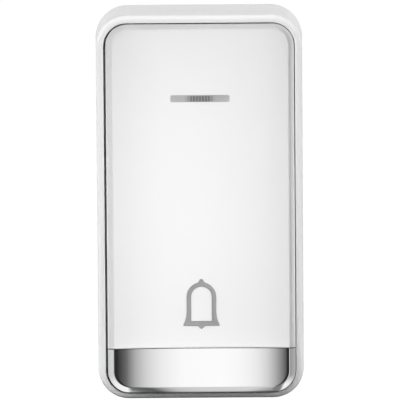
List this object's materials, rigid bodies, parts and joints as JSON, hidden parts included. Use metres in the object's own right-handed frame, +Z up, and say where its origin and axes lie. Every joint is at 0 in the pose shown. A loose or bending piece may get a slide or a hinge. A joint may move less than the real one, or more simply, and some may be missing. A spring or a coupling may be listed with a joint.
{
  "type": "wireless doorbell push button",
  "caption": "Self-powered wireless doorbell push button with a hinged clear-faced rocking panel, chrome end trim, sprung generator inside and a hook-on wall bracket.",
  "frame": {"origin": "centre of the back of the adhesive pad, the face that meets the wall; the case's outline is centred on it", "axes": "+Z up, +Y into the wall so the panel faces -Y, +X to the visitor's right"},
  "size_m": [0.045, 0.0288, 0.0834],
  "materials": {
    "wall_bracket": "fine moulded texture",
    "adhesive_pad": "soft closed-cell foam",
    "main_housing": "white, satin gloss",
    "rear_cover": "white, fine moulded texture",
    "case_gasket": "grey silicone",
    "case_screws": "zinc plated",
    "hinge_pin": "ground",
    "return_springs": "drawn wire",
    "seal_boot": "dark silicone",
    "light_guide": "clear acrylic",
    "pairing_switch": "black with a steel cap",
    "generator_frame": "black glass-filled nylon",
    "iron_core": "annealed soft iron",
    "coil_bobbin": "natural nylon",
    "coil_winding": "enamelled copper wire",
    "coil_leads": "enamelled copper wire",
    "lever_axle": "ground",
    "lever_spring": "drawn wire",
    "circuit_board": "green solder mask",
    "board_screws": "zinc plated",
    "transmitter_chip": "black epoxy with tinned leads",
    "crystal": "metal can",
    "rectifier_diodes": "black epoxy",
    "storage_capacitor": "aluminium can",
    "chip_resistors": "ceramic with tinned ends",
    "status_leds": "white reflector body",
    "antenna": "gold-flashed spring wire",
    "panel_carrier": "white",
    "backing_film": "white film",
    "clear_panel": "clear polished acrylic",
    "bell_icon": "silver foil",
    "light_window": "frosted grey diffuser",
    "chrome_trim": "bright plated plastic",
    "generator_lever": "natural acetal",
    "magnet": "nickel plated",
    "pole_plates": "stamped steel",
    "plunger": "black acetal",
    "pairing_button": "grey",
    "pairing_plunger": "black"
  },
  "bodies": {
    "bracket": {"wall_bracket": "wall_bracket", "adhesive_pad": "adhesive_pad"},
    "case": {"main_housing": "main_housing", "rear_cover": "rear_cover", "case_gasket": "case_gasket", "case_screws": "case_screws", "hinge_pin": "hinge_pin", "return_springs": "return_springs", "seal_boot": "seal_boot", "light_guide": "light_guide", "pairing_switch": "pairing_switch", "generator_frame": "generator_frame", "iron_core": "iron_core", "coil_bobbin": "coil_bobbin", "coil_winding": "coil_winding", "coil_leads": "coil_leads", "lever_axle": "lever_axle", "lever_spring": "lever_spring", "circuit_board": "circuit_board", "board_screws": "board_screws", "transmitter_chip": "transmitter_chip", "crystal": "crystal", "rectifier_diodes": "rectifier_diodes", "storage_capacitor": "storage_capacitor", "chip_resistors": "chip_resistors", "status_leds": "status_leds", "antenna": "antenna"},
    "panel": {"panel_carrier": "panel_carrier", "backing_film": "backing_film", "clear_panel": "clear_panel", "bell_icon": "bell_icon", "light_window": "light_window", "chrome_trim": "chrome_trim"},
    "lever": {"generator_lever": "generator_lever", "magnet": "magnet", "pole_plates": "pole_plates"},
    "push_pin": {"plunger": "plunger"},
    "pairing_key": {"pairing_button": "pairing_button", "pairing_plunger": "pairing_plunger"}
  },
  "joints": [
    {"name": "bracket_release", "type": "slide", "parent": "bracket", "child": "case", "axis": [0, 0, 1], "range_m": [0, 0.0052]},
    {"name": "panel_press", "type": "hinge", "parent": "case", "child": "panel", "pos_m": [0, -0.0206, 0.0355], "axis": [1, 0, 0], "range_deg": [0, 1.5], "stiffness_Nm_per_rad": 5.6, "springref_deg": -1.72, "deforming": ["return_springs"]},
    {"name": "plunger_travel", "type": "slide", "parent": "case", "child": "push_pin", "axis": [0, 1, 0], "range_m": [0, 0.00149], "deforming": ["seal_boot"]},
    {"name": "lever_flip", "type": "hinge", "parent": "case", "child": "lever", "pos_m": [0, -0.0128, 0.005], "axis": [1, 0, 0], "range_deg": [0, 3.28], "stiffness_Nm_per_rad": 0.15, "springref_deg": -2.86, "deforming": ["lever_spring"]},
    {"name": "pairing_press", "type": "slide", "parent": "case", "child": "pairing_key", "axis": [0, -1, 0], "range_m": [0, 0.0003], "stiffness_N_per_m": 4000, "springref_m": -0.0002}
  ],
  "couplings": [
    {"joint": "plunger_travel", "follows": "panel_press", "m_per_rad": 0.0565},
    {"joint": "lever_flip", "follows": "panel_press", "ratio": 2.1731}
  ]
}
